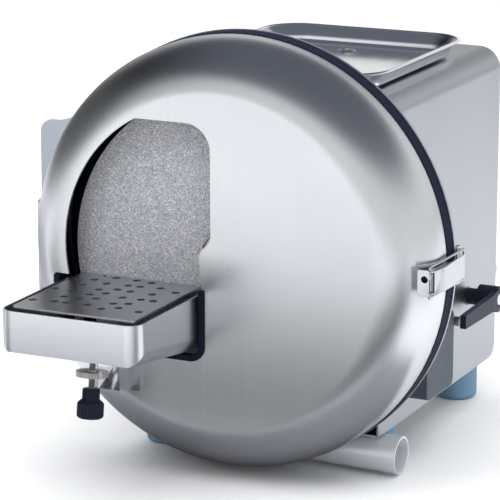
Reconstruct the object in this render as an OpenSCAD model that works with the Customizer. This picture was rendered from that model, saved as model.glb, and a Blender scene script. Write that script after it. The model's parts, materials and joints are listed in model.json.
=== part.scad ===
// Wet model trimmer: a motor-driven abrasive disc in a hinged round splash door,
// with a tilting work table, water supply and drain, on a sheet-steel housing.
// X is to the operator's right, Y points into the machine, Z is up.
// The origin is the middle of the overall box, on the surface the feet stand on.

/* [Grinding disc] */
// Diameter of the grinding disc
disc_d = 300; // [290:2:304]
// How far the grinding face stands in front of the front plate
disc_face = 51.7; // [50:0.5:52]
// Height of the disc axis above the ground
axis_h = 205; // [205:1:212]

/* [Door] */
// Outer diameter of the door's rim
door_d = 395.6; // [394:0.4:396]
// Depth of the door from the gasket to its flat face
door_depth = 60.7; // [60:0.1:61.5]
// Radius of the flat front face
face_r = 152.5; // [152:0.5:154]
// Sheet thickness of the door
door_t = 2; // [1.5:0.5:2.5]
// Depth of the gasket between the door and the front plate
gasket_t = 15; // [15:0.1:15.2]

/* [Housing] */
// Width of the housing
housing_w = 253.8; // [252:0.2:255]
// Depth of the housing behind the front plate
housing_l = 302; // [300:1:304]
// Height of the housing's top above the disc axis
housing_top = 145; // [144:0.5:146]
// Depth of the housing's floor below the disc axis
housing_low = 166.2; // [165:0.2:167]
// Sheet thickness of the housing
sheet_t = 2; // [1.5:0.5:2]
// Radius of the housing's long top edges
edge_r = 22; // [18:1:24]
// Diameter of a foot
foot_d = 40; // [36:1:42]

/* [Work table] */
// Width of the drip trough
trough_w = 138; // [136:1:138]
// Length of the drip trough's overhang in front of the front plate
trough_front = 192; // [188:1:194]
// Width of the perforated plate
plate_w = 120.2; // [116:0.2:121]
// Diameter of the drain holes in the perforated plate
plate_hole_d = 7.4; // [5:0.2:8]

/* [Water] */
// Outer diameter of the drain pipe
drain_d = 35.2; // [34:0.2:35.6]
// Bore of the drain pipe
drain_bore = 32; // [30:0.5:32.5]
// Distance of the drain pipe's open end from the disc axis
drain_end_x = 142.6; // [140:0.2:145]
// Outer diameter of the water inlet spigot
inlet_d = 26.4; // [26:0.2:27]
// Bore of the water inlet spigot
inlet_bore = 16; // [12:1:18]

/* [Hidden] */
$fn = 72;

eps = 0.5;
plate_t = 3;
plate_r = 199.3;

// Door profile
door_r = door_d / 2;
door_back = gasket_t + 0.3;
door_front = door_back + door_depth;
skirt_y = 27;
shoulder_r = door_r - face_r;
shoulder_steps = 16;

// Lug of the front plate, which carries the hinge
lug_x = -216;
lug_top = 100;
lug_corner = 12;

// Hinge
hinge_x = -207.5;
hinge_y = -12;
hinge_r = 5.5;
hinge_pin_r = 2.5;
hinge_low = -60;
hinge_high = 25;
knuckle_low = -33;
knuckle_high = -2;

// Table trough, in distances from the disc axis
trough_right = -16;
trough_left = trough_right - trough_w;
trough_top = -30;
trough_low_front = -67;
trough_slope = 7.6;
trough_rear = -66;
trough_t = 1.5;
slot_margin = 7;
slot_low = -91;
plate_columns = 7;
plate_rows = 6;
plate_x = trough_left + trough_w / 2 + 1.1;
plate_z = -27.2;
plate_rear = -53.5;
plate_front = -183.5;
pivot_y = -60;
pivot_z = -36;

// Adjusting screw under the trough
screw_x = -102.5;
screw_y = -111.5;
screw_z = -78.2;
screw_r = 3;

// Latch pivots
latch_x = 198.6;
latch_y = -57;
latch_z = 2.5;
lever_out_x = 206.6;
bail_x = 199.3;
bail_y = -60.94;
bail_end_x = 202;
bail_end_y = 13;
bail_z = 13.5;
wire_r = 1.25;
lever_reach = 8;

// Drain
drain_y = 21.2;
drain_z = -186;
drain_fall = 1.5;

// Water valve and inlet share one line along Y
water_x = 104;
water_z = -87;
valve_y = 227;
inlet_reach = 30;

// Bolt in the right wall
wall_bolt_y = 197;
wall_bolt_z = -105;
wall_bolt_r = 2.5;

// Overall box, which the origin is taken from
x_low = lug_x;
x_high = lever_out_x;
y_low = -trough_front;
y_high = plate_t + housing_l + inlet_reach;

steel = "silver";
dark = [0.16, 0.17, 0.2];
rubber = [0.12, 0.13, 0.16];

// Moves a shape from the disc axis at the front plate to the part's own frame.
module placed() {
  translate([-(x_low + x_high) / 2, -(y_low + y_high) / 2, axis_h]) children();
}

// A cylinder along Y from y to y + l.
module rod_y(r, y, l) {
  translate([0, y, 0]) rotate([-90, 0, 0]) cylinder(r = r, h = l);
}

// A tube along Y.
module tube_y(ro, ri, y, l) {
  difference() {
    rod_y(ro, y, l);
    rod_y(ri, y - eps, l + 2 * eps);
  }
}

// A cylinder along X from x to x + l.
module rod_x(r, x, l) {
  translate([x, 0, 0]) rotate([0, 90, 0]) cylinder(r = r, h = l);
}

// A plate in the XZ plane from y to y + t, from a flat outline in X and Z.
module upright(y, t) {
  translate([0, y + t, 0]) rotate([90, 0, 0]) linear_extrude(height = t) children();
}

// A shape from a flat outline in Y and Z, running along X from x to x + w.
module along_x(x, w) {
  translate([x, 0, 0]) rotate([90, 0, 90]) linear_extrude(height = w) children();
}

// A flat rectangle with four round corners.
module round_rect(x0, z0, x1, z1, r) {
  translate([x0 + r, z0]) square([x1 - x0 - 2 * r, z1 - z0]);
  translate([x0, z0 + r]) square([x1 - x0, z1 - z0 - 2 * r]);
  for (x = [x0 + r, x1 - r], z = [z0 + r, z1 - r]) translate([x, z]) circle(r = r);
}

// A flat rectangle whose lower corners only are round.
module round_low(x0, z0, x1, z1, r) {
  translate([x0 + r, z0]) square([x1 - x0 - 2 * r, z1 - z0]);
  translate([x0, z0 + r]) square([x1 - x0, z1 - z0 - r]);
  for (x = [x0 + r, x1 - r]) translate([x, z0 + r]) circle(r = r);
}

// A small pan-head screw along +Y at the origin, head towards +Y.
module pan_screw_y(r, shank) {
  rod_y(r, -shank, shank);
  rod_y(2 * r, 0, r);
}

/* Housing */

module wrap_outline(grow) {
  half = housing_w / 2 + grow;
  top = housing_top + grow;
  low = -housing_low + grow * (grow < 0 ? 30 : 1);
  translate([-half, low]) square([2 * half, top - edge_r - low]);
  translate([-half + edge_r, low]) square([2 * (half - edge_r), top - low]);
  for (x = [-half + edge_r, half - edge_r]) translate([x, top - edge_r]) circle(r = edge_r);
}

// The folded sheet that makes the top and both sides.
module housing_wrap() {
  corner = 14;
  low = -housing_low;
  back = plate_t + housing_l;
  color(steel) placed() difference() {
    upright(plate_t, housing_l) wrap_outline(0);
    upright(plate_t - eps, housing_l + 2 * eps) wrap_outline(-sheet_t);
    along_x(-200, 400) difference() {
      translate([back - corner, low - 1]) square([corner + 1, corner + 1]);
      translate([back - corner, low + corner]) circle(r = corner);
    }
    translate([0, valve_y, water_z]) rod_x(9, 100, 40);
    translate([0, wall_bolt_y, wall_bolt_z]) rod_x(wall_bolt_r, 100, 40);
    for (p = interlock_spots) translate([0, p[0], p[1]]) rod_x(interlock_screw_r, 100, 40);
    translate([-140, 48, 58]) cube([20, 30, 24]);
  }
}

// The floor, with a notch for the drain and slots for cooling air.
module base_plate() {
  half = housing_w / 2 - sheet_t - 0.2;
  color(steel) placed() difference() {
    translate([-half, plate_t, -housing_low]) cube([2 * half, housing_l - 14, sheet_t]);
    translate([-12, 0, -housing_low - 1]) cube([112, 41, sheet_t + 2]);
    for (y = [110 : 14 : 210]) {
      translate([-45, y, -housing_low - 1]) cube([90, 5, sheet_t + 2]);
    }
    for (p = foot_spots) translate([p[0], p[1], -housing_low - 1]) cylinder(r = 3, h = 4);
  }
}

// The back, whose lower edge curves into the floor.
module rear_panel() {
  half = housing_w / 2 - sheet_t - 0.2;
  corner = 14;
  back = plate_t + housing_l;
  low = -housing_low;
  color(steel) placed() difference() {
    union() {
      upright(back - sheet_t, sheet_t) intersection() {
        wrap_outline(-sheet_t - 0.2);
        translate([-half, low + corner]) square([2 * half, 400]);
      }
      along_x(-half, 2 * half) intersection() {
        translate([back - corner, low]) square(corner);
        difference() {
          translate([back - corner, low + corner]) circle(r = corner);
          translate([back - corner, low + corner]) circle(r = corner - sheet_t);
        }
      }
    }
    translate([water_x, 0, water_z]) rod_y(11, back - 10, 20);
    translate([-70, 0, -120]) rod_y(8, back - 10, 20);
    for (z = [20 : 14 : 104]) translate([-45, back - 5, z]) cube([90, 10, 5]);
    for (p = panel_screw_spots) translate([p[0], 0, p[1]]) rod_y(1.6, back - 10, 20);
  }
}

panel_screw_spots = [for (x = [-112, 112], z = [-120, 0, 110]) [x, z]];

// Screws that hold the rear panel.
module panel_screws() {
  back = plate_t + housing_l;
  color(steel) placed() for (p = panel_screw_spots) {
    translate([p[0], back, p[1]]) pan_screw_y(1.6, 8);
  }
}

// The round plate that closes the housing's front and carries the door and the motor.
module front_plate() {
  color("lightgray") placed() difference() {
    union() {
      rod_y(plate_r, 0, plate_t);
      upright(0, plate_t) {
        translate([lug_x + lug_corner, -lug_top]) square([90, 2 * lug_top]);
        translate([lug_x, -lug_top + lug_corner]) square([90, 2 * (lug_top - lug_corner)]);
        for (s = [-1, 1]) translate([lug_x + lug_corner, s * (lug_top - lug_corner)]) {
          circle(r = lug_corner);
        }
        for (s = [-1, 1]) difference() {
          translate([-200, s * (lug_top + 9) - 9]) square([50, 18]);
          translate([-201, s * (lug_top + 40)]) circle(r = 40);
        }
      }
    }
    rod_y(22, -1, plate_t + 2);
    translate([12, 0, -172]) rod_y(13, -1, plate_t + 2);
    translate([water_x, 0, water_z]) rod_y(8, -1, plate_t + 2);
    for (a = [45 : 90 : 315]) rotate([0, a, 0]) translate([84, 0, 0]) rod_y(4, -1, plate_t + 2);
  }
}

// The rubber ring that the door closes on.
module door_gasket() {
  color(rubber) placed() tube_y(198.5, 188, -gasket_t, gasket_t);
}

// The hinge half on the lug.
module fixed_hinge_leaf() {
  web = 3;
  color(steel) placed() difference() {
    union() {
      translate([lug_x + 1, -2, hinge_low]) cube([14, 2, hinge_high - hinge_low]);
      for (z = [[hinge_low, knuckle_low], [knuckle_high, hinge_high]]) {
        translate([hinge_x, hinge_y, z[0]]) cylinder(r = hinge_r, h = z[1] - z[0]);
        translate([hinge_x - web / 2, hinge_y, z[0]]) cube([web, -hinge_y - 1, z[1] - z[0]]);
      }
    }
    translate([hinge_x, hinge_y, hinge_low - 1]) {
      cylinder(r = hinge_pin_r, h = hinge_high - hinge_low + 2);
    }
  }
}

// The pin, with a head at each end.
module hinge_pin() {
  color(steel) placed() translate([hinge_x, hinge_y, hinge_low - 2]) {
    cylinder(r = hinge_pin_r, h = hinge_high - hinge_low + 4);
    cylinder(r = 4, h = 2);
    translate([0, 0, hinge_high - hinge_low + 2]) cylinder(r = 4, h = 2);
  }
}

// The block behind the front plate's rim that the bail closes over.
module latch_keeper() {
  color(steel) placed() translate([0, 0, latch_z]) difference() {
    translate([184, plate_t, -17]) cube([15.9, 9, 34]);
    for (z = [-9, 9]) translate([191, 0, z]) rod_y(2, 0, 20);
  }
}

/* Tray on top */

tray_x0 = -88;
tray_x1 = 116;
tray_y0 = 12;
tray_y1 = 254;
tray_floor = 148.2;
tray_rim = 164;
tray_corner = 38;
tray_screw_x = 6;
tray_screw_y = 206;

module tray_outline(inset) {
  round_rect(tray_x0 + inset, tray_y0 + inset, tray_x1 - inset, tray_y1 - inset,
    tray_corner - inset);
}

// A shallow pan for the plaster models.
module top_tray() {
  t = 1.5;
  wall = 3;
  color("gainsboro") placed() difference() {
    union() {
      translate([0, 0, tray_floor - t]) linear_extrude(height = tray_rim - tray_floor + t) {
        tray_outline(wall);
      }
      translate([0, 0, tray_rim - t]) linear_extrude(height = t) tray_outline(0);
    }
    translate([0, 0, tray_floor]) linear_extrude(height = 30) tray_outline(wall + t);
    translate([tray_screw_x, tray_screw_y, 140]) cylinder(r = 3.1, h = 20);
  }
}

// Rubber pads between the tray and the housing.
module tray_pads() {
  color(rubber) placed() for (x = [tray_x0 + 35, tray_x1 - 35], y = [tray_y0 + 35, tray_y1 - 35]) {
    translate([x, y, housing_top]) cylinder(r = 9, h = tray_floor - 1.5 - housing_top);
  }
}

// The screw and dished washer in the tray's floor.
module tray_screw() {
  color(steel) placed() translate([tray_screw_x, tray_screw_y, 0]) {
    translate([0, 0, tray_floor]) cylinder(r1 = 9.5, r2 = 7.5, h = 1.2);
    translate([0, 0, housing_top]) cylinder(r = 3, h = tray_floor - housing_top + 1);
    translate([0, 0, tray_floor + 1]) cylinder(r = 4.6, h = 2);
  }
}

/* Motor */

stator_r = 68;

module motor_stator() {
  fin = 3;
  color("slategray") placed() {
    tube_y(stator_r, 45, 42, 118);
    for (a = [-50 : 20 : 230]) rotate([0, a, 0]) translate([stator_r - 1, 44, -fin / 2]) {
      cube([8, 114, fin]);
    }
  }
}

module motor_front_shield() {
  color("slategray") placed() difference() {
    union() {
      rod_y(94, 16, 9);
      rod_y(stator_r, 25, 17);
    }
    rod_y(15, 10, 20);
    rod_y(26, 22, 15);
    rod_y(40, 37, 10);
    for (a = [45 : 90 : 315]) rotate([0, a, 0]) translate([84, 0, 0]) rod_y(4, 10, 20);
  }
}

module motor_rear_shield() {
  color("slategray") placed() difference() {
    rod_y(stator_r, 160, 18);
    rod_y(23.5, 162, 20);
    rod_y(40, 159, 3);
    rod_y(12, 155, 30);
  }
}

// The cap over the fan, with air holes in its end.
module fan_cover() {
  color(dark) placed() difference() {
    rod_y(stator_r + 3, 170, 46);
    rod_y(stator_r, 169, 45);
    for (a = [0 : 30 : 330]) rotate([0, a, 0]) translate([40, 0, 0]) rod_y(7, 210, 10);
    for (a = [0 : 60 : 300]) rotate([0, a, 0]) translate([20, 0, 0]) rod_y(6, 210, 10);
  }
}

module front_bearing() {
  color("gainsboro") placed() tube_y(26, 12.55, 22, 15);
}

module rear_bearing() {
  color("gainsboro") placed() tube_y(23.5, 10.05, 162, 14);
}

// The lip seal that keeps water out of the motor.
module shaft_seal() {
  color(rubber) placed() tube_y(22, 12.56, -5, plate_t + 5);
}

// Spacer studs between the front plate and the motor.
module motor_studs() {
  color(steel) placed() for (a = [45 : 90 : 315]) rotate([0, a, 0]) translate([84, 0, 0]) {
    rod_y(4, -2, 30);
    rod_y(7, plate_t, 13);
    rod_y(6.5, -6, 6);
    rod_y(6.5, 25, 6);
  }
}

module terminal_box() {
  color(dark) placed() difference() {
    translate([-28, 78, 66]) cube([56, 62, 32]);
    translate([-25, 81, 77]) cube([50, 56, 18]);
    rod_y(stator_r, 70, 80);
  }
}

// The motor's run capacitor, lying on the floor.
module capacitor() {
  color("gainsboro") placed() translate([-88, 0, -housing_low + sheet_t + 20]) {
    rod_y(20, 70, 92);
    rod_y(7, 60, 10);
  }
}

/* Water */

// The ball valve behind the lever.
module water_valve() {
  color("goldenrod") placed() difference() {
    translate([water_x, 0, water_z]) union() {
      rod_y(14, valve_y - 26, 52);
      translate([0, valve_y, 0]) rod_x(8.6, 0, housing_w / 2 - water_x);
    }
    translate([water_x, 0, water_z]) {
      rod_y(6, valve_y - 40, 26);
      rod_y(6, valve_y + 14, 26);
      translate([0, valve_y, 0]) rod_x(4.05, 6, 40);
    }
  }
}

// The threaded spigot for the supply hose.
module water_inlet() {
  back = plate_t + housing_l;
  color("goldenrod") placed() translate([water_x, 0, water_z]) difference() {
    union() {
      rod_y(inlet_d / 2, back + 5, inlet_reach - 5);
      rod_y(18, back, 5);
      rod_y(10.9, back - 8, 10);
      rod_y(8.5, back - 26, 22);
    }
    rod_y(inlet_bore / 2, back + 2, inlet_reach);
    rod_y(6, back - 30, 60);
  }
}

module supply_hose() {
  back = plate_t + housing_l;
  color(rubber) placed() translate([water_x, 0, water_z]) {
    tube_y(11.5, 8.5, valve_y + 26, back - 8 - valve_y - 26);
  }
}

module spray_hose() {
  color(rubber) placed() translate([water_x, 0, water_z]) {
    tube_y(8, 5, 14, valve_y - 26 - 14);
  }
}

// The pipe that brings water behind the disc and over its edge.
module spray_tube() {
  r = 4.5;
  bend = 12;
  top = 118;
  color(steel) placed() translate([water_x, 0, 0]) {
    translate([0, 0, water_z]) {
      rod_y(7.9, -4, 18);
      rod_y(11, plate_t, 5);
      rod_y(r, -20 + bend, 10);
    }
    translate([0, -20 + bend, water_z + bend]) rotate([0, 90, 0]) rotate([0, 0, -90]) {
      rotate_extrude(angle = 90) translate([bend, 0]) circle(r = r);
    }
    translate([0, -20, water_z + bend]) cylinder(r = r, h = top - bend - bend - water_z);
    translate([0, -20 - bend, top - bend]) rotate([0, 90, 0]) rotate([0, 0, 90]) {
      rotate_extrude(angle = 90) translate([bend, 0]) circle(r = r);
    }
    translate([0, 0, top]) rod_y(r, -62, 42 - bend);
    translate([0, -58, top]) rotate([0, -135, 0]) cylinder(r = 3, h = 16);
  }
}

// The grey housing of the door's safety switch.
module interlock_box() {
  color([0.3, 0.33, 0.37]) placed() difference() {
    translate([housing_w / 2, 0, 0]) along_x(0, 19.5) {
      round_rect(72, -149, 139, -76, 7);
    }
    for (p = interlock_spots) translate([0, p[0], p[1]]) {
      rod_x(interlock_screw_r, housing_w / 2 - 1, interlock_screw_l + 1);
    }
  }
}

interlock_spots = [[80, -84], [131, -84], [80, -141], [131, -141]];
interlock_screw_r = 2.2;
interlock_screw_l = 12;

// Screws that hold the block from inside the wall.
module interlock_screws() {
  inside = housing_w / 2 - sheet_t;
  color(steel) placed() for (p = interlock_spots) translate([0, p[0], p[1]]) {
    rod_x(interlock_screw_r, inside, interlock_screw_l + sheet_t);
    rod_x(3.8, inside - 1.8, 1.8);
  }
}

// The round bolt head on the right wall, below the water lever.
module wall_bolt() {
  color("slategray") placed() translate([0, wall_bolt_y, wall_bolt_z]) {
    rod_x(wall_bolt_r, housing_w / 2 - 8, 8);
    rod_x(4.6, housing_w / 2, 4);
  }
}

// The block that leads the chamber's drain into the pipe.
module drain_sump() {
  color("lightgray") placed() difference() {
    translate([-8, plate_t, -203]) cube([40, 37, 46]);
    translate([12, 0, -172]) rod_y(13, 0, drain_y);
    drain_line() rod_x(14, -154, 18);
    drain_line() rod_x(drain_d / 2, -136, 60);
  }
}

// Puts a shape on the drain's line, with x = 0 at its open end.
module drain_line() {
  translate([drain_end_x, drain_y, drain_z]) rotate([0, drain_fall, 0]) children();
}

module drain_pipe() {
  color("lightgray") placed() drain_line() difference() {
    rod_x(drain_d / 2, -136, 136);
    rod_x(drain_bore / 2, -137, 138);
  }
}

/* Feet, switch and gland */

foot_spots = [[-98.8, 27.6], [98.5, 62], [-98.5, 276], [98.5, 276]];

module feet() {
  foot_h = axis_h - housing_low;
  round = 5;
  color([0.42, 0.55, 0.63]) placed() for (p = foot_spots) translate([p[0], p[1], -axis_h]) {
    difference() {
      union() {
        translate([0, 0, round]) cylinder(r = foot_d / 2, h = foot_h - round);
        cylinder(r = foot_d / 2 - round, h = round);
        translate([0, 0, round]) rotate_extrude() intersection() {
          translate([foot_d / 2 - round, 0]) circle(r = round);
          translate([0, -round]) square([foot_d / 2, 2 * round]);
        }
      }
      translate([0, 0, -1]) cylinder(r = 7, h = 9);
      cylinder(r = 3.05, h = foot_h + 1);
    }
  }
}

module foot_screws() {
  color(steel) placed() for (p = foot_spots) translate([p[0], p[1], -axis_h]) {
    translate([0, 0, 4]) cylinder(r = 6, h = 4);
    translate([0, 0, 4]) cylinder(r = 3, h = 44);
    translate([0, 0, axis_h - housing_low + sheet_t]) cylinder(r = 5.5, h = 5);
  }
}

switch_y = 63;
switch_z = 70;
rocker_tip = 7;

// The frame of the mains switch on the left wall.
module switch_bezel() {
  side = -housing_w / 2;
  color(dark) placed() difference() {
    union() {
      translate([side - 2, switch_y - 18, switch_z - 15]) cube([2, 36, 30]);
      translate([side, switch_y - 14.8, switch_z - 11.8]) cube([22, 29.6, 23.6]);
    }
    translate([side - 3, switch_y - 13, switch_z - 9.5]) cube([19, 26, 19]);
  }
}

// The rocker tips about its middle.
module switch_rocker() {
  side = -housing_w / 2;
  color("forestgreen") placed() translate([side + 6, switch_y, switch_z]) {
    rotate([0, 0, -rocker_tip]) along_x(-8.5, 12.5) translate([-11.5, -9]) square([23, 18]);
  }
}

module cable_gland() {
  back = plate_t + housing_l;
  color(dark) placed() translate([-70, 0, -120]) difference() {
    union() {
      rod_y(7.9, back - 8, 12);
      rod_y(12, back, 6);
      rod_y(9.5, back + 6, 12);
      rod_y(12, back - 8, 6);
    }
    rod_y(4.5, back - 20, 60);
  }
}

/* Spindle */

module motor_shaft() {
  color("gainsboro") placed() {
    rod_y(12.5, -34, 120);
    rod_y(16, 60, 80);
    rod_y(10, 86, 112);
    rod_y(8, -46, 13);
  }
}

module rotor() {
  color("gray") placed() tube_y(44, 16, 52, 98);
}

module cooling_fan() {
  color(dark) placed() {
    tube_y(16, 10, 180, 16);
    for (a = [0 : 60 : 300]) rotate([0, a, 0]) translate([14, 182, -1.5]) cube([44, 13, 3]);
  }
}

// The steel plate and hub that the abrasive is bonded to.
module disc_carrier() {
  color("dimgray") placed() difference() {
    union() {
      rod_y(disc_d / 2 - 1, -disc_face + 5, 6);
      rod_y(30, -disc_face + 10, 14);
    }
    rod_y(12.5, -34, 30);
    rod_y(8, -60, 40);
  }
}

module grinding_disc() {
  color([0.62, 0.62, 0.64]) placed() tube_y(disc_d / 2, 24, -disc_face, 5);
}

// The recessed nut and washer at the disc's middle.
module hub_nut() {
  color(steel) placed() difference() {
    union() {
      rod_y(23.5, -disc_face + 2, 3);
      translate([0, -disc_face + 2, 0]) rotate([90, 0, 0]) cylinder(r = 13, h = 8, $fn = 6);
    }
    rod_y(8, -disc_face - 1, 10);
  }
}

/* Valve lever */

lever_hub_x = 151;

module valve_spindle() {
  color("gainsboro") placed() translate([0, valve_y, water_z]) {
    rod_x(4, water_x + 7, lever_hub_x + 4 - water_x - 7);
  }
}

module valve_lever() {
  color(dark) placed() translate([0, valve_y, water_z]) difference() {
    union() {
      rod_x(12.8, lever_hub_x - 12, 20);
      rod_x(8, housing_w / 2 + 1.1, 14);
      along_x(lever_hub_x + 3, 6) polygon([
        [0, -11], [-20, -8], [-92, -6.5], [-92, 6.5], [-20, 8], [0, 11]
      ]);
    }
    rod_x(4, housing_w / 2, lever_hub_x + 4 - housing_w / 2);
    rod_x(7, lever_hub_x + 5.5, 10);
    rod_x(2, lever_hub_x, 12);
  }
}

module lever_screw() {
  color("gainsboro") placed() translate([0, valve_y, water_z]) {
    rod_x(5.5, lever_hub_x + 5.5, 3);
    rod_x(2, lever_hub_x + 4, 2);
  }
}

/* Door */

// The door's outer profile, from the rim to the face, as radius and height.
function shoulder(k, inset) = [
  face_r + (shoulder_r - inset) * cos(90 * k / shoulder_steps),
  skirt_y + (door_front - skirt_y - inset) * sin(90 * k / shoulder_steps)
];

module door_solid(inset) {
  rotate([90, 0, 0]) rotate_extrude($fn = 96) polygon(concat(
    [[0, door_back], [door_r - inset, door_back]],
    [for (k = [0 : shoulder_steps]) shoulder(k, inset)],
    [[0, door_front - inset]]
  ));
}

slot_left = trough_left - slot_margin;
slot_right = trough_right + slot_margin;

// Points on an arc about c, from angle a0 to angle a1.
function arc(c, r, a0, a1, steps = 8) = [
  for (k = [0 : steps]) c + r * [cos(a0 + (a1 - a0) * k / steps), sin(a0 + (a1 - a0) * k / steps)]
];

// The hand opening and, below it, the slot that the trough comes through.
module door_opening() {
  left = -170;
  right = -3;
  top = 126;
  top_r = 25;
  hip_r = 13;
  waist_r = 14;
  turn = 55;
  hip = [right - hip_r, 26];
  waist = hip + (hip_r + waist_r) * [cos(turn), -sin(turn)];
  intersection() {
    polygon(concat(
      [[left, -30], [slot_right - 2, -30]],
      arc(waist, waist_r, 180, 180 - turn),
      arc(hip, hip_r, -turn, 0),
      arc([right - top_r, top - top_r], top_r, 0, 90),
      [[left, top]]
    ));
    translate([-12, 5]) circle(r = 137.5);
  }
  round_low(slot_left, slot_low, slot_right, -24, 14);
}

module door_shell() {
  color(steel) placed() difference() {
    door_solid(0);
    difference() {
      door_solid(door_t);
      translate([-250, -door_back, -250]) cube([500, 20, 500]);
    }
    rod_y(door_r - door_t, -door_back - 1, 2);
    upright(-door_front - 1, 40) door_opening();
  }
}

// Rubber round the slot's right side, floor and left side.
module slot_edging() {
  w = 6;
  color(rubber) placed() upright(-door_front - 2.5, 7) difference() {
    round_low(slot_left, slot_low, slot_right, -25, 14);
    round_low(slot_left + w, slot_low + w, slot_right - w, -10, 8);
  }
}

// The hinge half on the door's skirt.
module door_hinge_leaf() {
  z0 = knuckle_low + 0.5;
  z1 = knuckle_high - 0.5;
  color(steel) placed() difference() {
    union() {
      translate([hinge_x, hinge_y, z0]) cylinder(r = hinge_r, h = z1 - z0);
      translate([hinge_x, hinge_y, z0]) rotate([0, 0, -30]) {
        translate([0, 0.8 - hinge_r, 0]) cube([22, 4, z1 - z0]);
      }
    }
    rod_y(door_r, -60, 60);
    translate([hinge_x, hinge_y, z0 - 1]) cylinder(r = hinge_pin_r + 0.05, h = z1 - z0 + 2);
  }
}

// The chromed foot on the door's shoulder that the latch turns on, with its end plate.
module latch_base() {
  end_y = latch_y - 8.2;
  foot_x = 189.5;
  t = 1.2;
  color("gainsboro") placed() translate([0, 0, latch_z]) difference() {
    union() {
      translate([180, latch_y - 1.5, -7.5]) cube([latch_x - 180, 9.5, 15]);
      translate([latch_x, latch_y, -7.5]) cylinder(r = 2.8, h = 15);
      translate([foot_x, end_y, -9]) cube([t, 8, 18]);
      upright(end_y, t) round_rect(foot_x, -11.8, latch_x + 1.6, 11.8, 2);
    }
    door_solid(0);
    translate([latch_x, latch_y, -20]) cylinder(r = 1.5, h = 40);
    translate([foot_x + 6.5, 0, 3.5]) rod_y(3.2, end_y - 1, 4);
  }
}

module latch_pin() {
  color("gainsboro") placed() translate([latch_x, latch_y, latch_z - 11.5]) {
    cylinder(r = 1.5, h = 23);
  }
}

// The humped plate that is pulled to open the latch, and its two cheeks.
module latch_lever() {
  t = 1.2;
  end = [lever_out_x - 3.4, latch_y - 1.2];
  hump = [lever_out_x, -44];
  tail = [lever_out_x - 1.4, lever_reach];
  color("gainsboro") placed() translate([0, 0, latch_z]) difference() {
    union() {
      translate([0, 0, -10.5]) linear_extrude(height = 21) polygon([
        end, hump, tail, tail - [t, 0], hump - [t, 0], end - [t, 0]
      ]);
      for (z = [-10.5, 9]) translate([0, 0, z]) linear_extrude(height = 1.5) {
        translate([latch_x, latch_y]) circle(r = 3);
        translate([bail_x, bail_y]) circle(r = 2.5);
        polygon([
          [latch_x - 3, latch_y], [bail_x - 2.5, bail_y], [bail_x + 2.5, bail_y], end, hump,
          [lever_out_x - 1, -14], [lever_out_x - 3, -14], [latch_x + 1, hump[1] - 2]
        ]);
      }
    }
    translate([latch_x, latch_y, -20]) cylinder(r = 1.55, h = 40);
    translate([bail_x, bail_y, -20]) cylinder(r = wire_r + 0.05, h = 40);
  }
}

// The wire loop, whose ends turn in through the lever's cheeks.
module latch_bail() {
  run = bail_end_y - bail_y;
  lean = atan2(bail_end_x - bail_x, run);
  length = run / cos(lean);
  color("gainsboro") placed() translate([bail_x, bail_y, latch_z]) rotate([0, 0, -lean]) {
    for (s = [-1, 1]) {
      translate([0, 0, s * bail_z]) {
        rod_y(wire_r, 0, length);
        sphere(r = wire_r);
        translate([0, length, 0]) sphere(r = wire_r);
      }
      translate([0, 0, s > 0 ? 8.7 : -bail_z]) cylinder(r = wire_r, h = bail_z - 8.7);
    }
    translate([0, length, -bail_z]) cylinder(r = wire_r, h = 2 * bail_z);
  }
}

/* Table */

// Puts a shape on the adjusting screw's line, with z = 0 at the trough's floor.
module screw_line() {
  translate([screw_x, screw_y, screw_z]) rotate([-trough_slope, 0, 0]) children();
}

// The welded channel on the door's face, with the nut plate for the adjusting screw.
module table_bracket() {
  t = 2.5;
  back = -door_front - t;
  front = -97.5;
  low = -121;
  top = -87;
  left = -106;
  right = -84;
  foot = 11;
  color("gainsboro") placed() difference() {
    union() {
      upright(back, t) {
        round_low(left - foot, low - 4, left + t, -95, 2);
        round_low(right - t, low - 4, right + foot, -95, 2);
      }
      upright(front, t) translate([left, low]) square([right - left, top - low]);
      for (x = [left, right - t]) along_x(x, t) polygon([
        [front, top], [front, low], [back + 1, low - 4], [back + 1, -95], [-90, top]
      ]);
      screw_line() translate([left - 6 - screw_x, -14, -10]) cube([right - left + 6, 30, 4]);
    }
    screw_line() translate([0, 0, -30]) cylinder(r = screw_r + 0.05, h = 40);
  }
}

// Two ears inside the door and the pins that the trough tilts on.
module table_pivots() {
  color("gainsboro") placed() for (side = [0, 1]) {
    ear_x = side == 0 ? slot_right + 1 : slot_left - 4;
    pin_x = side == 0 ? trough_right - 4 : slot_left - 2;
    intersection() {
      along_x(ear_x, 3) difference() {
        translate([-door_front, pivot_z - 8]) square([pivot_y + 5 + door_front, 16]);
        translate([pivot_y, pivot_z]) circle(r = 2);
      }
      door_solid(door_t);
    }
    translate([0, pivot_y, pivot_z]) rod_x(2, pin_x, slot_margin + 6);
  }
}

function floor_at(y) = trough_low_front - (y + trough_front) * tan(trough_slope);

module trough_body(in) {
  corner = 14 - in;
  x0 = trough_left + in;
  x1 = trough_right - in;
  y0 = -trough_front + in;
  top = trough_top + in * 10;
  intersection() {
    along_x(x0, x1 - x0) difference() {
      polygon([
        [y0, top], [y0, -95], [trough_rear + in * 10, -95], [trough_rear + in * 10, top]
      ]);
      polygon([
        [y0 - 20, floor_at(y0 - 20) + in], [y0 - 20, -110],
        [trough_rear + 20, -110], [trough_rear + 20, floor_at(trough_rear + 20) + in]
      ]);
    }
    translate([0, 0, -110]) linear_extrude(height = 100) {
      translate([x0, y0 + corner]) square([x1 - x0, 200]);
      translate([x0 + corner, y0]) square([x1 - x0 - 2 * corner, 200]);
      for (x = [x0 + corner, x1 - corner]) translate([x, y0 + corner]) circle(r = corner);
    }
    translate([0, -trough_front, 0]) rotate([-trough_slope, 0, 0]) upright(-20, 220) {
      round_low(x0, trough_low_front + in, x1, 40, corner);
    }
  }
}

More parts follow.
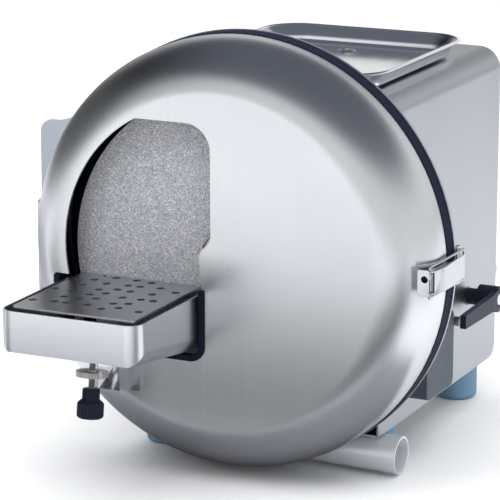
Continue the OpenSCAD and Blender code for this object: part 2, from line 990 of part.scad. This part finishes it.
// The steel trough that catches the slurry and lets it run back into the door.
module drip_trough() {
  color("gainsboro") placed() difference() {
    union() {
      difference() {
        trough_body(0);
        trough_body(trough_t);
      }
      for (x = [-1, 1], y = [-165, -90]) {
        translate([plate_x + x * 45, y, floor_at(y) - 0.2]) {
          cylinder(r = 4, h = plate_z - 2 - floor_at(y) + 0.2);
        }
      }
      for (x = [trough_left, trough_right - 4]) {
        translate([0, pivot_y, pivot_z]) rod_x(5, x, 4);
        translate([x, trough_rear - 4, pivot_z - 5]) cube([4, pivot_y - trough_rear + 4, 10]);
      }
    }
    translate([0, pivot_y, pivot_z]) rod_x(2.05, -200, 250);
  }
}

// Staggered holes: seven columns, the outer two half filled, each hole a little off its place.
plate_holes = [
  for (col = [0 : plate_columns - 1], row = [0 : plate_rows - 1])
  if (col > 0 && col < plate_columns - 1 || row % 2 == 1)
  [-53 + col * 16.8 + 3 * sin(70 * row + 130 * col),
   plate_rear - 8 - row * 19 + (col % 2) * 4 - 3 * cos(110 * col + 60 * row)]
];

module table_plate() {
  color("gray") placed() difference() {
    translate([plate_x, 0, plate_z - 2]) linear_extrude(height = 2) {
      round_rect(-plate_w / 2, plate_front, plate_w / 2, plate_rear, 3);
    }
    for (p = plate_holes) translate([plate_x + p[0], p[1], plate_z - 3]) {
      cylinder(r = plate_hole_d / 2, h = 4, $fn = 24);
    }
  }
}

// The tip that lifts the trough.
module thrust_tip() {
  color("gray") placed() screw_line() translate([0, 0, -4.6]) intersection() {
    cylinder(r = screw_r - 0.3, h = 4);
    translate([0, 0, -2]) sphere(r = 6);
  }
}

// The screw with its ribbed knob.
module adjusting_screw() {
  neck = 8;
  grip = 12.2;
  color(dark) placed() screw_line() {
    translate([0, 0, -42]) cylinder(r = screw_r, h = 37.2);
    translate([0, 0, -47.5]) cylinder(r = neck, h = 9.5);
    translate([0, 0, -51]) cylinder(r1 = grip, r2 = neck, h = 3.5);
    translate([0, 0, -65]) cylinder(r1 = grip - 1.5, r2 = grip, h = 1.5);
    difference() {
      translate([0, 0, -63.5]) cylinder(r = grip, h = 12.5);
      for (a = [0 : 15 : 345]) rotate([0, 0, a]) translate([grip + 0.7, 0, -62.5]) {
        cylinder(r = 1.2, h = 10.5, $fn = 16);
      }
    }
  }
}

// The knurled nut that locks the screw.
module lock_nut() {
  r = 14.8;
  t = 5;
  color("gray") placed() screw_line() translate([0, 0, -27]) difference() {
    union() {
      cylinder(r = r, h = t);
      translate([0, 0, t]) cylinder(r = 6, h = 1.5);
    }
    translate([0, 0, -1]) cylinder(r = screw_r + 0.05, h = t + 5);
    for (a = [0 : 12 : 348]) rotate([0, 0, a]) translate([r + 0.3, 0, -1]) {
      cylinder(r = 0.7, h = t + 2, $fn = 16);
    }
  }
}

housing_wrap();
base_plate();
rear_panel();
panel_screws();
front_plate();
door_gasket();
fixed_hinge_leaf();
hinge_pin();
latch_keeper();
top_tray();
tray_pads();
tray_screw();
motor_stator();
motor_front_shield();
motor_rear_shield();
fan_cover();
front_bearing();
rear_bearing();
shaft_seal();
motor_studs();
terminal_box();
capacitor();
water_valve();
water_inlet();
supply_hose();
spray_hose();
spray_tube();
interlock_box();
interlock_screws();
wall_bolt();
drain_sump();
drain_pipe();
feet();
foot_screws();
switch_bezel();
switch_rocker();
cable_gland();
motor_shaft();
rotor();
cooling_fan();
disc_carrier();
grinding_disc();
hub_nut();
valve_spindle();
valve_lever();
lever_screw();
door_shell();
slot_edging();
door_hinge_leaf();
latch_base();
latch_pin();
latch_lever();
latch_bail();
table_bracket();
table_pivots();
drip_trough();
table_plate();
thrust_tip();
adjusting_screw();
lock_nut();
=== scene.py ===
import json
import math

import bmesh
import bpy
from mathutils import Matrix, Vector


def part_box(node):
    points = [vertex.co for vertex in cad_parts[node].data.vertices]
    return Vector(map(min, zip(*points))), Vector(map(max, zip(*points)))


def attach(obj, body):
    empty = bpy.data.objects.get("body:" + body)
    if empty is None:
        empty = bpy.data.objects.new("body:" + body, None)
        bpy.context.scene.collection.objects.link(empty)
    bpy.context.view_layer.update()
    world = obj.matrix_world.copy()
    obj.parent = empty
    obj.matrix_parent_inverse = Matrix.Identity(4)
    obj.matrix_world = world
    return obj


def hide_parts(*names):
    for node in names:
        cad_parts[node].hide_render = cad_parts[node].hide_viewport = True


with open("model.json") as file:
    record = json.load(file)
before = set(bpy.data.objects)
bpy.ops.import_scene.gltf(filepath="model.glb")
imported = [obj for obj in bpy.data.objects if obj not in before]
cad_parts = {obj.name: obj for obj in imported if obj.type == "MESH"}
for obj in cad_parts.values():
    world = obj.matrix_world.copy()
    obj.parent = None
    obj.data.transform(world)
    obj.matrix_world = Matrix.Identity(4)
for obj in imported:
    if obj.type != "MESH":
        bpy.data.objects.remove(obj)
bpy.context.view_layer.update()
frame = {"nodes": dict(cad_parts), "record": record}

# Reference point: the disc's axis at the front plate's front face.
disc_low, disc_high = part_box("grinding_disc")
plate_low, plate_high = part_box("front_plate")
AXIS = Vector((
    (disc_low.x + disc_high.x) / 2,
    plate_low.y,
    (disc_low.z + disc_high.z) / 2,
))


# ---------- Materials ----------

def new_material(name, colour, metallic, roughness):
    """A material, with its node tree and its shader."""
    material = bpy.data.materials.new(name)
    material.use_nodes = True
    tree = material.node_tree
    shader = tree.nodes["Principled BSDF"]
    shader.inputs["Base Color"].default_value = (*colour, 1)
    shader.inputs["Metallic"].default_value = metallic
    shader.inputs["Roughness"].default_value = roughness
    return material, tree, shader


def noise(tree, scale, detail=2.0):
    """Noise over the object's own coordinates, with a scale for each axis."""
    place = tree.nodes.new("ShaderNodeTexCoord")
    mapping = tree.nodes.new("ShaderNodeMapping")
    mapping.inputs["Scale"].default_value = scale
    texture = tree.nodes.new("ShaderNodeTexNoise")
    texture.inputs["Scale"].default_value = 1.0
    texture.inputs["Detail"].default_value = detail
    tree.links.new(place.outputs["Object"], mapping.inputs["Vector"])
    tree.links.new(mapping.outputs["Vector"], texture.inputs["Vector"])
    return texture


def spread(tree, source, low, high, start=0.3, end=0.7):
    """Maps the values between start and end to those between low and high."""
    node = tree.nodes.new("ShaderNodeMapRange")
    node.inputs["From Min"].default_value = start
    node.inputs["From Max"].default_value = end
    node.inputs["To Min"].default_value = low
    node.inputs["To Max"].default_value = high
    tree.links.new(source, node.inputs["Value"])
    return node.outputs["Result"]


def ramp(tree, source, stops):
    """Maps a value to colours; stops is a list of (place, colour)."""
    node = tree.nodes.new("ShaderNodeValToRGB")
    elements = node.color_ramp.elements
    while len(elements) < len(stops):
        elements.new(0.5)
    for element, (place, colour) in zip(elements, stops):
        element.position = place
        element.color = (*colour, 1)
    tree.links.new(source, node.inputs["Fac"])
    return node.outputs["Color"]


def add_bump(tree, shader, source, strength, distance):
    """Raises the surface by a value, without moving the mesh."""
    node = tree.nodes.new("ShaderNodeBump")
    node.inputs["Strength"].default_value = strength
    node.inputs["Distance"].default_value = distance
    tree.links.new(source, node.inputs["Height"])
    tree.links.new(node.outputs["Normal"], shader.inputs["Normal"])


def shade(colour, factor):
    """A colour made lighter or darker."""
    return tuple(min(1.0, c * factor) for c in colour)


# Noise scales of the brushed steel: across the scratches, along them, and for smudges.
FINE = 1500.0
LONG = 5.0
SMUDGE = 9.0


def brushed(name, colour, roughness, grain, streak=0.03, bump=0.004, metallic=1.0):
    """Steel with fine parallel scratches along one axis and faint smudges."""
    material, tree, shader = new_material(name, colour, metallic, roughness)
    scale = [FINE, FINE, FINE]
    scale["XYZ".index(grain)] = LONG
    fine = noise(tree, scale, 3.0).outputs["Fac"]
    tint = ramp(tree, fine, [(0.3, shade(colour, 1 - streak)), (0.7, shade(colour, 1 + streak))])
    tree.links.new(tint, shader.inputs["Base Color"])
    smudge = noise(tree, (SMUDGE, SMUDGE, SMUDGE), 4.0).outputs["Fac"]
    smudge_share = 0.6
    both = tree.nodes.new("ShaderNodeMath")
    both.operation = "MULTIPLY_ADD"
    both.inputs[1].default_value = smudge_share
    tree.links.new(smudge, both.inputs[0])
    tree.links.new(spread(tree, fine, 0.0, 1.0 - smudge_share), both.inputs[2])
    rough = spread(tree, both.outputs[0], roughness - 0.02, roughness + 0.03)
    tree.links.new(rough, shader.inputs["Roughness"])
    add_bump(tree, shader, fine, bump, 0.00005)
    return material


def polished(name, colour, roughness):
    """Bright metal with faint handling marks."""
    material, tree, shader = new_material(name, colour, 1.0, roughness)
    handling = 60.0
    marks = noise(tree, (handling, handling, handling), 5.0).outputs["Fac"]
    tree.links.new(spread(tree, marks, roughness * 0.7, roughness * 1.7), shader.inputs["Roughness"])
    tint = ramp(tree, marks, [(0.35, shade(colour, 0.94)), (0.65, colour)])
    tree.links.new(tint, shader.inputs["Base Color"])
    add_bump(tree, shader, marks, 0.04, 0.0002)
    return material


def moulded(name, colour, roughness, texture=700.0, edge=1.7, bump=0.25, specular=0.5):
    """Rubber or plastic with a fine surface texture and sharp edges made paler."""
    material, tree, shader = new_material(name, colour, 0.0, roughness)
    shader.inputs["Specular IOR Level"].default_value = specular
    mottle = 25.0
    pores = noise(tree, (texture, texture, texture), 2.0).outputs["Fac"]
    cloud = noise(tree, (mottle, mottle, mottle), 3.0).outputs["Fac"]
    base = ramp(tree, cloud, [(0.35, shade(colour, 0.88)), (0.65, shade(colour, 1.12))])
    point = tree.nodes.new("ShaderNodeNewGeometry").outputs["Pointiness"]
    mix = tree.nodes.new("ShaderNodeMix")
    mix.data_type = "RGBA"
    tree.links.new(spread(tree, point, 0.0, 0.7, 0.52, 0.6), mix.inputs["Factor"])
    tree.links.new(base, mix.inputs["A"])
    mix.inputs["B"].default_value = (*shade(colour, edge), 1)
    tree.links.new(mix.outputs["Result"], shader.inputs["Base Color"])
    tree.links.new(spread(tree, pores, roughness - 0.07, roughness + 0.07), shader.inputs["Roughness"])
    add_bump(tree, shader, pores, bump, 0.0001)
    return material


def painted(name, colour, roughness):
    """Paint on a casting, with a slight orange-peel surface."""
    material, tree, shader = new_material(name, colour, 0.0, roughness)
    ripple = 180.0
    peel = noise(tree, (ripple, ripple, ripple), 3.0).outputs["Fac"]
    tint = ramp(tree, peel, [(0.3, shade(colour, 0.85)), (0.7, colour)])
    tree.links.new(tint, shader.inputs["Base Color"])
    tree.links.new(spread(tree, peel, roughness - 0.1, roughness + 0.1), shader.inputs["Roughness"])
    add_bump(tree, shader, peel, 0.3, 0.0004)
    return material


def grit(name):
    """Bonded abrasive: packed grains in several greys with a few warm and cool ones."""
    material, tree, shader = new_material(name, (0.36, 0.36, 0.38), 0.0, 0.7)
    grains_per_metre = 1250.0
    place = tree.nodes.new("ShaderNodeTexCoord")
    cells = tree.nodes.new("ShaderNodeTexVoronoi")
    cells.inputs["Scale"].default_value = grains_per_metre
    tree.links.new(place.outputs["Object"], cells.inputs["Vector"])
    split = tree.nodes.new("ShaderNodeSeparateColor")
    tree.links.new(cells.outputs["Color"], split.inputs["Color"])
    tint = ramp(tree, split.outputs["Red"], [
        (0.0, (0.20, 0.21, 0.26)), (0.3, (0.35, 0.35, 0.39)), (0.5, (0.44, 0.43, 0.46)),
        (0.7, (0.43, 0.46, 0.52)), (0.88, (0.58, 0.57, 0.54)), (1.0, (0.80, 0.81, 0.84)),
    ])
    tree.links.new(tint, shader.inputs["Base Color"])
    rough = spread(tree, split.outputs["Green"], 0.35, 0.85, 0.0, 1.0)
    tree.links.new(rough, shader.inputs["Roughness"])
    add_bump(tree, shader, split.outputs["Blue"], 0.5, 0.0003)
    return material


def paint_chamber_shade(material, radius):
    """Painted shade: darkens a material inside a radius of the disc's axis, standing for the shade in
    the chamber behind the disc.
    """
    # Painted shade: the near-black colour put in place of the chamber's shade.
    dark = (0.012, 0.014, 0.020)
    fade = 0.001
    tree = material.node_tree
    shader = next(n for n in tree.nodes if n.type == "BSDF_PRINCIPLED")
    clean = shader.inputs["Base Color"].links[0].from_socket
    place = tree.nodes.new("ShaderNodeTexCoord")
    offset = tree.nodes.new("ShaderNodeVectorMath")
    offset.operation = "SUBTRACT"
    offset.inputs[1].default_value = AXIS
    tree.links.new(place.outputs["Object"], offset.inputs[0])
    flat = tree.nodes.new("ShaderNodeVectorMath")
    flat.operation = "MULTIPLY"
    flat.inputs[1].default_value = (1, 0, 1)
    tree.links.new(offset.outputs["Vector"], flat.inputs[0])
    length = tree.nodes.new("ShaderNodeVectorMath")
    length.operation = "LENGTH"
    tree.links.new(flat.outputs["Vector"], length.inputs[0])
    mix = tree.nodes.new("ShaderNodeMix")
    mix.data_type = "RGBA"
    edge = spread(tree, length.outputs["Value"], 0.0, 1.0, radius - fade, radius + fade)
    tree.links.new(edge, mix.inputs["Factor"])
    mix.inputs["A"].default_value = (*dark, 1)
    tree.links.new(clean, mix.inputs["B"])
    tree.links.new(mix.outputs["Result"], shader.inputs["Base Color"])


MATERIALS = {
    "door": brushed("door_steel", (0.70, 0.715, 0.74), 0.31, "Z"),
    # Painted shade: the housing's steel is a darker copy of the sheet steel, set to the tone its walls
    # take in this light.
    "side": brushed("housing_steel_painted_shade", (0.44, 0.46, 0.495), 0.36, "Z"),
    "front": brushed("front_steel", (0.48, 0.52, 0.58), 0.36, "Z"),
    "along": brushed("sheet_steel", (0.66, 0.68, 0.70), 0.34, "Y"),
    # Painted light: the tray's steel is a paler copy of the sheet steel, so that the pan shows brighter.
    "tray": brushed("tray_steel_painted_light", (0.88, 0.90, 0.93), 0.13, "Y"),
    "trough": brushed("trough_steel", (0.79, 0.815, 0.85), 0.3, "X"),
    "bracket": brushed("bracket_steel", (0.80, 0.82, 0.85), 0.24, "Z"),
    "perforated": brushed("plate_steel", (0.62, 0.63, 0.66), 0.36, "Y", 0.05),
    # Painted light: the pipe's steel is paler than the door's steel, so that the pipe shows brighter.
    "pipe": brushed("pipe_steel_painted_light", (0.86, 0.89, 0.93), 0.36, "X", metallic=0.5),
    "chrome": polished("polished_steel", (0.72, 0.73, 0.76), 0.1),
    # Painted shade: the latch's steel is a darker copy of the polished steel, toning down the bright
    # floor it mirrors.
    "latch": polished("latch_steel_painted_shade", (0.54, 0.55, 0.59), 0.14),
    "zinc": polished("zinc_steel", (0.50, 0.48, 0.46), 0.28),
    "dull": polished("dull_steel", (0.30, 0.31, 0.34), 0.45),
    "brass": polished("valve_brass", (0.62, 0.52, 0.30), 0.25),
    "gasket": moulded("gasket_rubber", (0.006, 0.008, 0.018), 0.6, specular=0.06),
    "foot": moulded("foot_rubber", (0.14, 0.25, 0.36), 0.6, 500.0, 1.3),
    "grey": moulded("grey_plastic", (0.062, 0.077, 0.105), 0.5, 500.0, 1.5, specular=0.3),
    "black": moulded("black_plastic", (0.010, 0.013, 0.026), 0.46, 600.0, 2.5, specular=0.22),
    "green": moulded("green_plastic", (0.01, 0.22, 0.05), 0.25, 300.0, 1.4, 0.05),
    "cast": painted("motor_paint", (0.10, 0.12, 0.14), 0.5),
    "core": painted("motor_core", (0.09, 0.09, 0.10), 0.6),
    "grit": grit("abrasive"),
}
# Painted shade in the chamber behind the disc, on the front plate's steel.
CHAMBER_RADIUS = 0.185
paint_chamber_shade(MATERIALS["front"], CHAMBER_RADIUS)

# Which nodes have which look.
LOOKS = {
    "door": ["door_shell", "door_hinge_leaf", "table_pivots"],
    "side": ["housing_wrap", "rear_panel"],
    "front": ["front_plate"],
    "along": ["base_plate", "fixed_hinge_leaf", "drain_sump", "latch_keeper", "capacitor", "spray_tube"],
    "tray": ["top_tray"],
    "trough": ["drip_trough"],
    "bracket": ["table_bracket"],
    "perforated": ["table_plate"],
    "pipe": ["drain_pipe"],
    "chrome": [
        "latch_pin", "tray_screw", "panel_screws", "interlock_screws", "lever_screw",
        "front_bearing", "rear_bearing",
    ],
    "latch": ["latch_base", "latch_lever", "latch_bail"],
    "zinc": [
        "lock_nut", "thrust_tip", "valve_spindle", "foot_screws", "motor_studs", "hinge_pin",
        "motor_shaft", "hub_nut", "disc_carrier",
    ],
    "dull": ["wall_bolt", "water_valve"],
    "brass": ["water_inlet"],
    "gasket": ["door_gasket", "slot_edging", "tray_pads", "shaft_seal", "supply_hose", "spray_hose"],
    "foot": ["feet"],
    "grey": ["interlock_box"],
    "black": [
        "terminal_box", "cable_gland", "switch_bezel", "fan_cover", "cooling_fan", "valve_lever",
        "adjusting_screw",
    ],
    "green": ["switch_rocker"],
    "cast": ["motor_stator", "motor_front_shield", "motor_rear_shield"],
    "core": ["rotor"],
    "grit": ["grinding_disc"],
}
look_of = {node: look for look, nodes in LOOKS.items() for node in nodes}
for node_name, node in frame["nodes"].items():
    node.data.materials.clear()
    node.data.materials.append(MATERIALS[look_of[node_name]])


# ---------- Pieces made from the CAD shapes, with softened edges ----------

def body_of(node_name):
    """The body that a node moves with."""
    bodies = frame["record"]["behaviour"]["bodies"]
    return next(body for body, nodes in bodies.items() if node_name in nodes)


def soften(node_name, width):
    """A copy of a CAD node's shape with small round edges, which stands for the node."""
    same_place = 0.00001
    flat = math.radians(0.5)
    sharp = math.radians(35)
    shape = bmesh.new()
    shape.from_mesh(frame["nodes"][node_name].data)
    bmesh.ops.remove_doubles(shape, verts=shape.verts, dist=same_place)
    bmesh.ops.dissolve_limit(shape, angle_limit=flat, verts=shape.verts, edges=shape.edges)
    mesh = bpy.data.meshes.new("soft_" + node_name)
    shape.to_mesh(mesh)
    shape.free()
    mesh.materials.append(MATERIALS[look_of[node_name]])
    piece = bpy.data.objects.new("soft_" + node_name, mesh)
    bpy.context.scene.collection.objects.link(piece)
    bevel = piece.modifiers.new("edges", "BEVEL")
    bevel.width = width
    bevel.segments = 3
    bevel.limit_method = "ANGLE"
    bevel.angle_limit = sharp
    bevel.miter_outer = "MITER_ARC"
    bevel.harden_normals = True
    mesh.shade_smooth()
    mesh.set_sharp_from_angle(angle=sharp)
    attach(piece, body_of(node_name))
    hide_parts(node_name)


# Width of the round edge that each of these nodes gets.
SOFT_EDGES = {
    "interlock_box": 0.0015, "valve_lever": 0.0009, "table_plate": 0.0005,
    "latch_lever": 0.00035, "latch_base": 0.0004, "table_bracket": 0.0005,
    "drain_pipe": 0.0004, "housing_wrap": 0.0003, "front_plate": 0.0005,
    "tray_screw": 0.0003, "wall_bolt": 0.0008, "slot_edging": 0.001,
    "switch_rocker": 0.0008, "switch_bezel": 0.0006, "latch_keeper": 0.0006,
}
for name, width in SOFT_EDGES.items():
    soften(name, width)


# ---------- Tray: a pressed pan with flared walls and a rolled rim ----------

def ring(low, high, inset, corner, height, steps=12):
    """Points round a rectangle with round corners, inset from the given box."""
    radius = max(corner - inset, 0.002)
    points = []
    for quarter, (sx, sy) in enumerate([(1, 1), (-1, 1), (-1, -1), (1, -1)]):
        cx = (high.x - inset - radius) if sx > 0 else (low.x + inset + radius)
        cy = (high.y - inset - radius) if sy > 0 else (low.y + inset + radius)
        for k in range(steps + 1):
            angle = math.pi / 2 * (quarter + k / steps)
            points.append((cx + radius * math.cos(angle), cy + radius * math.sin(angle), height))
    return points


def loft(name, rings, material):
    """A closed skin through rings of equal length, with a face over each end."""
    shape = bmesh.new()
    rows = [[shape.verts.new(p) for p in points] for points in rings]
    count = len(rows[0])
    for lower, upper in zip(rows, rows[1:]):
        for k in range(count):
            n = (k + 1) % count
            shape.faces.new((lower[k], lower[n], upper[n], upper[k]))
    shape.faces.new(rows[0][::-1])
    shape.faces.new(rows[-1])
    bmesh.ops.recalc_face_normals(shape, faces=shape.faces)
    mesh = bpy.data.meshes.new(name)
    shape.to_mesh(mesh)
    shape.free()
    mesh.materials.append(material)
    mesh.shade_smooth()
    mesh.set_sharp_from_angle(angle=math.radians(50))
    piece = bpy.data.objects.new(name, mesh)
    bpy.context.scene.collection.objects.link(piece)
    return piece


def make_tray():
    """The sheet's outline runs from the floor up the inside, over the rim and down the outside."""
    low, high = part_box("top_tray")
    corner = 0.038
    sheet = 0.0015
    bend = 0.003
    floor_inset = 0.012
    top_inset = 0.004
    rim = 0.002
    flare_power = 1.6
    bend_steps, wall_steps, rim_steps = 8, 6, 6
    floor = low.z + sheet
    depth = high.z - floor
    inner = []
    for k in range(bend_steps + 1):
        angle = math.pi / 2 * k / bend_steps
        inset = floor_inset + bend * (1 - math.sin(angle))
        inner.append((inset, floor + bend * (1 - math.cos(angle))))
    for k in range(1, wall_steps + 1):
        share = k / wall_steps
        rise = bend + (depth - bend - sheet) * share
        inner.append((floor_inset - (floor_inset - top_inset) * share ** flare_power, floor + rise))
    lip = []
    for k in range(rim_steps + 1):
        angle = math.pi * k / rim_steps
        lip.append((rim + rim * math.cos(angle), high.z - rim + rim * math.sin(angle)))
    # The outer skin ends under the rim's roll.
    sideways, down, outside = sheet * 0.9, sheet * 0.6, 0.0022
    outer = [(max(inset - sideways, outside), height - down) for inset, height in reversed(inner[1:])]
    foot_inset = inner[0][0] + 0.004
    middle_inset = inner[0][0] + 0.03
    profile = [(middle_inset, floor)] + inner + lip + outer + [(foot_inset, low.z)]
    rings = [ring(low, high, inset, corner, height) for inset, height in profile]
    tray = loft("pressed_tray", rings, MATERIALS["tray"])
    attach(tray, "housing")
    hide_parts("top_tray")


make_tray()


# ---------- Door: the pressed shoulder, smooth in its reflections ----------

def pressed_normal(place, face_radius, bend_start, reach, depth):
    """The outward direction of the door's profile at a point, and how far the point is off it."""
    offset = place - AXIS
    radial = Vector((offset.x, 0, offset.z))
    out = radial.length - face_radius
    forward = -offset.y - bend_start
    if out <= 0:
        return Vector((0, -1, 0)), abs(forward - depth)
    radial.normalize()
    if forward <= 0:
        return radial, abs(out - reach)
    direction = radial * (out / reach ** 2) + Vector((0, -forward / depth ** 2, 0))
    return direction.normalized(), abs(math.hypot(out / reach, forward / depth) - 1) * depth


def make_door():
    """The door's own shape, shaded by its true profile in place of its facets."""
    low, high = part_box("door_shell")
    # The flat face's radius, and how far in front of AXIS the shoulder's curve starts.
    face_radius = 0.1525
    bend_start = 0.027
    reach = (high.z - low.z) / 2 - face_radius
    depth = AXIS.y - low.y - bend_start
    most_error = 0.001
    least_likeness = 0.9
    mesh = frame["nodes"]["door_shell"].data.copy()
    mesh.name = "smooth_door"
    normals = []
    for face in mesh.polygons:
        for index in face.vertices:
            place = mesh.vertices[index].co
            direction, error = pressed_normal(place, face_radius, bend_start, reach, depth)
            likeness = face.normal.dot(direction)
            outer = error < most_error and likeness > least_likeness
            normals.append(direction if outer else face.normal)
    mesh.shade_smooth()
    mesh.normals_split_custom_set(normals)
    door = bpy.data.objects.new("smooth_door", mesh)
    bpy.context.scene.collection.objects.link(door)
    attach(door, "door")
    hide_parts("door_shell")


make_door()


# ---------- Adjusting screw: a threaded rod and its ribbed knob ----------

def along_screw(radius_at, heights, sides):
    """Rings about the adjusting screw's axis.

    radius_at gives the radius for a height and an angle.
    """
    joint = next(j for j in frame["record"]["behaviour"]["joints"] if j["name"] == "knob_turn")
    origin = Vector(joint["pos_m"])
    up = Vector(joint["axis"]).normalized()
    right = Vector((1, 0, 0))
    inward = up.cross(right)
    rings = []
    for height in heights:
        points = []
        for k in range(sides):
            angle = 2 * math.pi * k / sides
            radius = radius_at(height, angle)
            across = right * radius * math.cos(angle) + inward * radius * math.sin(angle)
            points.append(origin + up * height + across)
        rings.append(points)
    return rings


def make_screw():
    """The rod and the knob. Heights run along the screw's axis, from its joint's place."""
    pitch = 0.001
    thread_radius = 0.0028
    thread_depth = 0.0002
    rod_top, rod_low = -0.0048, -0.042
    levels = round((rod_top - rod_low) / pitch * 2)
    heights = [rod_low + (rod_top - rod_low) * k / levels for k in range(levels + 1)]

    def thread(height, angle):
        turns = (height - rod_low) / pitch
        return thread_radius + thread_depth * math.cos(2 * math.pi * turns)

    rod_sides = 32
    rod = loft("screw_thread", along_screw(thread, heights, rod_sides), MATERIALS["zinc"])
    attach(rod, "knob")
    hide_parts("adjusting_screw")

    # Height and radius along the knob, from its foot to its neck.
    profile = [
        (-0.065, 0.0098), (-0.0646, 0.0107), (-0.0635, 0.0119), (-0.0625, 0.0122),
        (-0.0525, 0.0122), (-0.0512, 0.0120), (-0.0505, 0.0114), (-0.0477, 0.0083),
        (-0.0470, 0.0080), (-0.0386, 0.0080), (-0.0380, 0.0074),
    ]
    radii = dict(profile)
    ribs = 24
    rib_depth = 0.0005
    ribs_low, ribs_high = -0.063, -0.0511
    sides_per_rib = 8

    def grip(height, angle):
        ribbed = ribs_low < height < ribs_high
        return radii[height] + (rib_depth * (math.cos(ribs * angle) - 1) if ribbed else 0.0)

    rings = along_screw(grip, [height for height, _ in profile], ribs * sides_per_rib)
    knob = loft("ribbed_knob", rings, MATERIALS["black"])
    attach(knob, "knob")
    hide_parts("adjusting_screw")


make_screw()


# ---------- Stage, lights and camera ----------

def make_floor():
    """A wide sheet of pale paper with a faint mottle."""
    half = 30.0
    mesh = bpy.data.meshes.new("floor")
    corners = [(-half, -half, 0), (half, -half, 0), (half, half, 0), (-half, half, 0)]
    mesh.from_pydata(corners, [], [(0, 1, 2, 3)])
    floor = bpy.data.objects.new("floor", mesh)
    bpy.context.scene.collection.objects.link(floor)
    material, tree, shader = new_material("floor_paper", (0.96, 0.96, 0.96), 0.0, 0.9)
    cloud = 1.5
    mottle = noise(tree, (cloud, cloud, cloud)).outputs["Fac"]
    tint = ramp(tree, mottle, [(0.3, (0.95, 0.95, 0.95)), (0.7, (0.97, 0.97, 0.97))])
    tree.links.new(tint, shader.inputs["Base Color"])
    mesh.materials.append(material)


def soft_light(name, place, target, size, power):
    """A broad light that the steel doesn't mirror."""
    data = bpy.data.lights.new(name, "AREA")
    data.shape = "RECTANGLE"
    data.size, data.size_y = size
    data.energy = power
    light = bpy.data.objects.new(name, data)
    light.location = place
    light.rotation_euler = (Vector(target) - Vector(place)).to_track_quat("-Z", "Y").to_euler()
    light.visible_glossy = False
    bpy.context.scene.collection.objects.link(light)


# Name, place, target, width and length, and power of each light.
LIGHTS = [
    ("key", (-1.4, -2.4, 2.6), AXIS, (2.2, 2.2), 45),
    ("side", (2.6, -0.6, 1.4), AXIS, (1.2, 2.4), 14),
    ("overhead", (0, 0, 4.0), (0, 0, 0), (7.0, 7.0), 330),
]


def make_card(name, centre, size, tone):
    """A grey card on the floor that the steel mirrors; the camera doesn't see it."""
    x, y = centre
    w, h = size[0] / 2, size[1] / 2
    above_floor = 0.002
    mesh = bpy.data.meshes.new(name)
    corners = [(x - w, y - h), (x + w, y - h), (x + w, y + h), (x - w, y + h)]
    corners = [(*corner, above_floor) for corner in corners]
    mesh.from_pydata(corners, [], [(0, 1, 2, 3)])
    card = bpy.data.objects.new(name, mesh)
    bpy.context.scene.collection.objects.link(card)
    mesh.materials.append(new_material(name, (tone, tone, tone * 1.08), 0.0, 1.0)[0])
    card.visible_camera = False
    card.visible_diffuse = False
    card.visible_shadow = False


# Name, centre, width and length, and tone of each card.
CARDS = [
    ("front_card", (-0.1, -0.5), (1.5, 0.42), 0.08),
    ("right_card", (0.85, -0.6), (0.5, 0.5), 0.16),
    # Painted shade: under_card stands in, in the steel's reflections only, for the floor's shadow under
    # the machine.
    ("under_card", (0.05, -0.15), (0.55, 0.24), 0.26),
    ("left_card", (-0.95, 0.25), (0.9, 0.9), 0.34),
    ("far_right_card", (1.00, 0.00), (0.6, 0.6), 0.40),
]


def make_world():
    """A studio that is bright round the horizon, and dark overhead and to the left."""
    world = bpy.data.worlds.new("studio")
    bpy.context.scene.world = world
    world.use_nodes = True
    tree = world.node_tree
    place = tree.nodes.new("ShaderNodeTexCoord")
    split = tree.nodes.new("ShaderNodeSeparateXYZ")
    tree.links.new(place.outputs["Generated"], split.inputs["Vector"])
    height = ramp(tree, split.outputs["Z"], [
        (0.0, (1.0, 1.0, 1.0)), (0.32, (1.0, 1.0, 1.0)),
        (0.58, (0.16, 0.17, 0.20)), (1.0, (0.14, 0.155, 0.19)),
    ])
    sideways = spread(tree, split.outputs["X"], 0.12, 1.0, -0.8, -0.38)
    both = tree.nodes.new("ShaderNodeVectorMath")
    both.operation = "SCALE"
    tree.links.new(height, both.inputs[0])
    tree.links.new(sideways, both.inputs["Scale"])
    tree.links.new(both.outputs["Vector"], tree.nodes["Background"].inputs["Color"])
    tree.nodes["Background"].inputs["Strength"].default_value = 0.85


def make_camera():
    """The camera stands to the right of the machine and a little above it."""
    azimuth = math.radians(25.18)
    elevation = math.radians(14.06)
    distance = 2.48867
    rise = -0.0032
    back = Vector((
        math.sin(azimuth) * math.cos(elevation),
        -math.cos(azimuth) * math.cos(elevation),
        math.sin(elevation),
    ))
    data = bpy.data.cameras.new("camera")
    data.sensor_width = 36.0
    data.lens = 197.1
    data.clip_end = 200.0
    camera = bpy.data.objects.new("camera", data)
    turn = (-back).to_track_quat("-Z", "Y")
    camera.location = AXIS + back * distance + turn @ Vector((0, rise, 0))
    camera.rotation_euler = turn.to_euler()
    bpy.context.scene.collection.objects.link(camera)
    bpy.context.scene.camera = camera


make_floor()
make_world()
make_camera()
for name, centre, size, tone in CARDS:
    make_card(name, centre, size, tone)
for name, place, target, size, power in LIGHTS:
    soft_light(name, place, target, size, power)
bpy.context.scene.view_settings.view_transform = "Standard"
